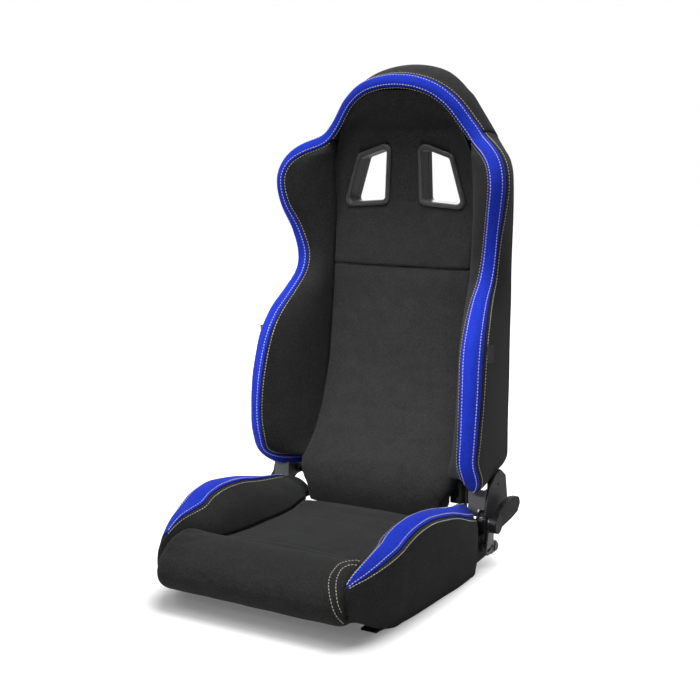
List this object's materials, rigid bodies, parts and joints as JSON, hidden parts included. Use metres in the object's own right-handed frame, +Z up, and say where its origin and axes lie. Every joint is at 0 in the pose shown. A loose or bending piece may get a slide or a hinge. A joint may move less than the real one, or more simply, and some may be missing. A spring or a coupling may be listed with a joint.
{
  "type": "racing seat",
  "caption": "Reclining bucket seat with padded side bolsters, a contrast edge strip, two harness slots and a geared recliner at each side.",
  "frame": {"origin": "centre of the four floor bolt holes, at the underside of the rails", "axes": "+X to the sitter's left, -Y to the front of the seat, +Z up"},
  "size_m": [0.5466, 0.6526, 0.967],
  "materials": {
    "black_cloth": "rough",
    "blue_cloth": "rough",
    "back_cloth": "rough",
    "black_steel": "satin",
    "frame_steel": "satin",
    "bare_steel": "satin",
    "spring_steel": "satin",
    "strap_web": "rough",
    "black_plastic": "satin",
    "tag_cloth": "rough"
  },
  "bodies": {
    "base": {"seat_rail_left": "black_steel", "seat_rail_right": "black_steel", "seat_cross_tubes": "black_steel", "seat_straps": "strap_web", "seat_cushion": "black_cloth", "seat_front_roll": "black_cloth", "seat_bolster_left": "black_cloth", "seat_bolster_right": "black_cloth", "seat_trim_left": "blue_cloth", "seat_trim_right": "blue_cloth", "recliner_plate_left": "black_steel", "recliner_plate_right": "black_steel", "recliner_bolts": "bare_steel", "pivot_bushes": "bare_steel", "pawl_pins": "bare_steel"},
    "backrest": {"recliner_arm_left": "black_steel", "recliner_arm_right": "black_steel", "recliner_spring_left": "spring_steel", "recliner_spring_right": "spring_steel", "back_bracket_left": "frame_steel", "back_bracket_right": "frame_steel", "back_frame": "frame_steel", "back_cross_tubes": "frame_steel", "back_straps": "strap_web", "back_panel_lower": "black_cloth", "back_panel_upper": "black_cloth", "back_bolster_left": "black_cloth", "back_bolster_right": "black_cloth", "head_border": "black_cloth", "back_trim": "blue_cloth", "back_cover": "back_cloth", "harness_bezel_left": "black_plastic", "harness_bezel_right": "black_plastic", "rear_bezel_left": "black_plastic", "rear_bezel_right": "black_plastic", "side_tags": "tag_cloth"},
    "release": {"release_shaft": "bare_steel", "release_cam_left": "bare_steel", "release_cam_right": "bare_steel", "recliner_lever_left": "black_plastic", "recliner_lever_right": "black_plastic"},
    "pawl_left": {"pawl_left": "bare_steel"},
    "pawl_right": {"pawl_right": "bare_steel"}
  },
  "joints": [
    {"name": "backrest_recline", "type": "hinge", "parent": "base", "child": "backrest", "pos_m": [0, 0.235, 0.084], "axis": [-1, 0, 0], "range_deg": [-20, 48]},
    {"name": "lever_release", "type": "hinge", "parent": "base", "child": "release", "pos_m": [0, 0.235, 0.084], "axis": [1, 0, 0], "range_deg": [-9, 16], "stiffness_Nm_per_rad": 0.6},
    {"name": "pawl_left_swing", "type": "hinge", "parent": "base", "child": "pawl_left", "pos_m": [0.242, 0.269, 0.027], "axis": [1, 0, 0], "range_deg": [-3.3, 5.8]},
    {"name": "pawl_right_swing", "type": "hinge", "parent": "base", "child": "pawl_right", "pos_m": [-0.242, 0.269, 0.027], "axis": [1, 0, 0], "range_deg": [-3.3, 5.8]}
  ],
  "couplings": [
    {"joint": "pawl_left_swing", "follows": "lever_release", "ratio": 0.36},
    {"joint": "pawl_right_swing", "follows": "lever_release", "ratio": 0.36}
  ]
}
